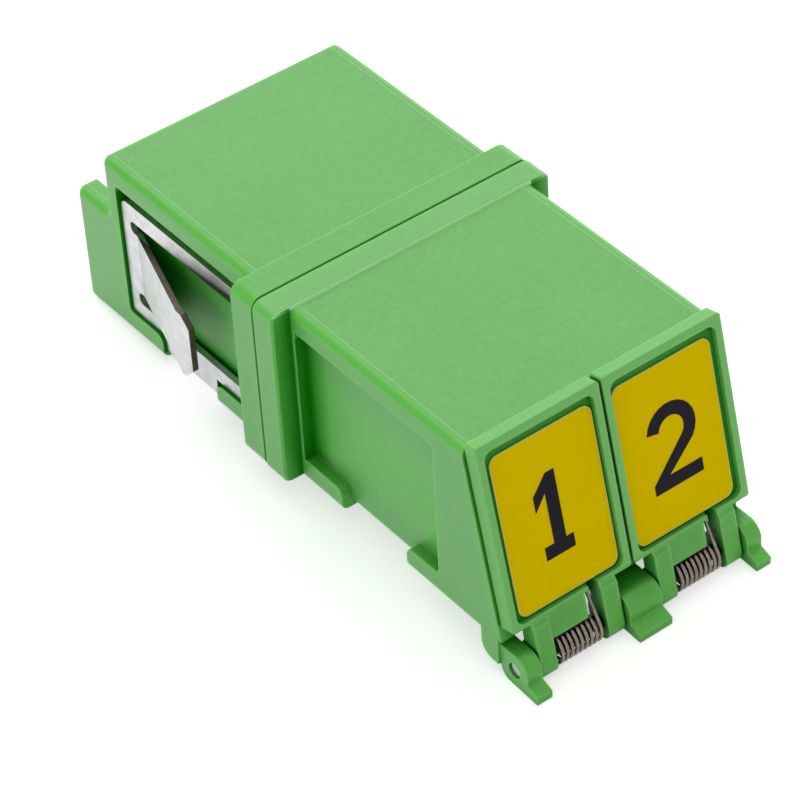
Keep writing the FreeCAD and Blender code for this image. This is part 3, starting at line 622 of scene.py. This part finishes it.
def figure_one():
    """The outline of a 1: a stem with a flag and a foot."""
    stem, half = STROKE / 2, FIGURE_HEIGHT / 2
    foot = half - STROKE
    return [(stem, half), (stem, -foot), (2.2 * stem, -foot), (2.2 * stem, -half), (-2.6 * stem, -half),
            (-2.6 * stem, -foot), (-stem, -foot), (-stem, half - 1.4 * STROKE),
            (-2.9 * stem, half - 2.5 * STROKE), (-2.9 * stem, half - 1.3 * STROKE), (-stem * 0.4, half)]


def figure_two():
    """The outline of a 2: a bowl, a slope and a foot."""
    half = FIGURE_HEIGHT / 2
    outer = 0.33 * FIGURE_HEIGHT
    middle = (0.0, half - outer)
    outside = arc(middle, outer, 168.0, -38.0)
    inside = arc(middle, outer - STROKE, -38.0, 168.0)
    foot = [(-0.35 * outer, STROKE - half), (outer, STROKE - half), (outer, -half), (-outer, -half),
            (-outer, 0.75 * STROKE - half)]
    return outside + foot + inside


def print_numeral(side, outline):
    """The port's number, printed on its label as a skin of ink."""
    corners = in_door(side, f"{side}_label")
    middle = [(min(corner[axis] for corner in corners) + max(corner[axis] for corner in corners)) / 2
              for axis in (0, 1)]
    face = max(corner.z for corner in corners)
    turn = sum(here[0] * after[1] - after[0] * here[1]
               for here, after in zip(outline, outline[1:] + outline[:1]))
    outline = outline if turn > 0.0 else outline[::-1]
    count = len(outline)
    points = [door_place(side) @ Vector((middle[0] + x * MM, middle[1] + y * MM, face + level * MM))
              for level in (-INK_SINK, INK_DEPTH - INK_SINK) for x, y in outline]
    rim = [(step, (step + 1) % count, count + (step + 1) % count, count + step) for step in range(count)]
    mesh = bpy.data.meshes.new(f"{side}_numeral")
    mesh.from_pydata(points, [], [tuple(range(count))[::-1], tuple(range(count, 2 * count)), *rim])
    mesh.materials.append(INK)
    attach(link(f"{side}_numeral", mesh), DOORS[side])


spring_nodes = spring_tree()
for side, outline in zip(DOORS, (figure_one(), figure_two())):
    wind_spring(side, spring_nodes)
    print_numeral(side, outline)


# Floor, light and camera ---------------------------------------------------------------------------------

def floor_material():
    """White card: it takes the object's shadow, and the camera sees the rest of it as white."""
    finish = Finish("white_card", (0.9, 0.9, 0.9), Roughness=0.9, Specular_IOR_Level=0.0,
                    Emission_Strength=1.0)
    seen = finish.seen_by("Camera", "Glossy")
    finish.set("Emission Color", finish.blend(seen, (0.0, 0.0, 0.0), (FLOOR_GLOW,) * 3))
    return finish.material


def add_floor():
    """A card under the feet and the rear foot of the body, on which the adapter leans a little."""
    low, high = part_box("front_housing")
    rear_low, rear_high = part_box("rear_housing")
    front = Vector((0.0, low.y, low.z - FLOOR_GAP))
    back = Vector((0.0, rear_high.y, rear_low.z - FLOOR_GAP))
    slope = (back - front).normalized()
    across = Vector((1.0, 0.0, 0.0))
    corners = [front + (across * side + slope * end) * FLOOR_REACH
               for side, end in ((-1, -1), (1, -1), (1, 1), (-1, 1))]
    mesh = bpy.data.meshes.new("floor")
    mesh.from_pydata(corners, [], [(0, 1, 2, 3)])
    mesh.materials.append(floor_material())
    floor = link("floor", mesh)


def add_softbox(name, place, size, power):
    """A soft rectangular lamp that faces the adapter."""
    light = bpy.data.lights.new(name, "AREA")
    light.shape = "RECTANGLE"
    light.size, light.size_y = size
    light.energy = power
    holder = link(name, light)
    holder.location = place
    holder.rotation_euler = (-Vector(place)).to_track_quat("-Z", "Y").to_euler()


def add_world():
    """Even studio light. What the camera and bright metal see beyond the floor is white."""
    world = bpy.data.worlds.new("studio")
    world.use_nodes = True
    world.node_tree.nodes.clear()
    nodes = Nodes(world.node_tree)
    seen = nodes.seen_by("Camera", "Glossy", "Transmission")
    background = nodes.node("ShaderNodeBackground", {}, {
        "Color": (1.0, 1.0, 1.0, 1.0), "Strength": AMBIENT + (1.0 - AMBIENT) * seen})
    nodes.node("ShaderNodeOutputWorld", {}, {"Surface": background.outputs["Background"]})
    bpy.context.scene.world = world


def add_camera():
    """A long lens above and to the left of the shutters, turned a few degrees about its own axis."""
    camera = bpy.data.cameras.new("camera")
    camera.sensor_width = SENSOR
    camera.lens = LENS
    camera.clip_start = 0.01
    aim = CAMERA_AIM.normalized().to_track_quat("-Z", "Y").to_matrix()
    turn = aim @ Matrix.Rotation(math.radians(CAMERA_ROLL), 3, "Z")
    holder = link("camera", camera)
    holder.matrix_world = Matrix.Translation(CAMERA_PLACE) @ turn.to_4x4()
    bpy.context.scene.camera = holder


add_floor()
add_world()
add_softbox("key", **KEY)
add_softbox("fill", **FILL)
add_camera()

scene = bpy.context.scene
scene.view_settings.view_transform = "Standard"
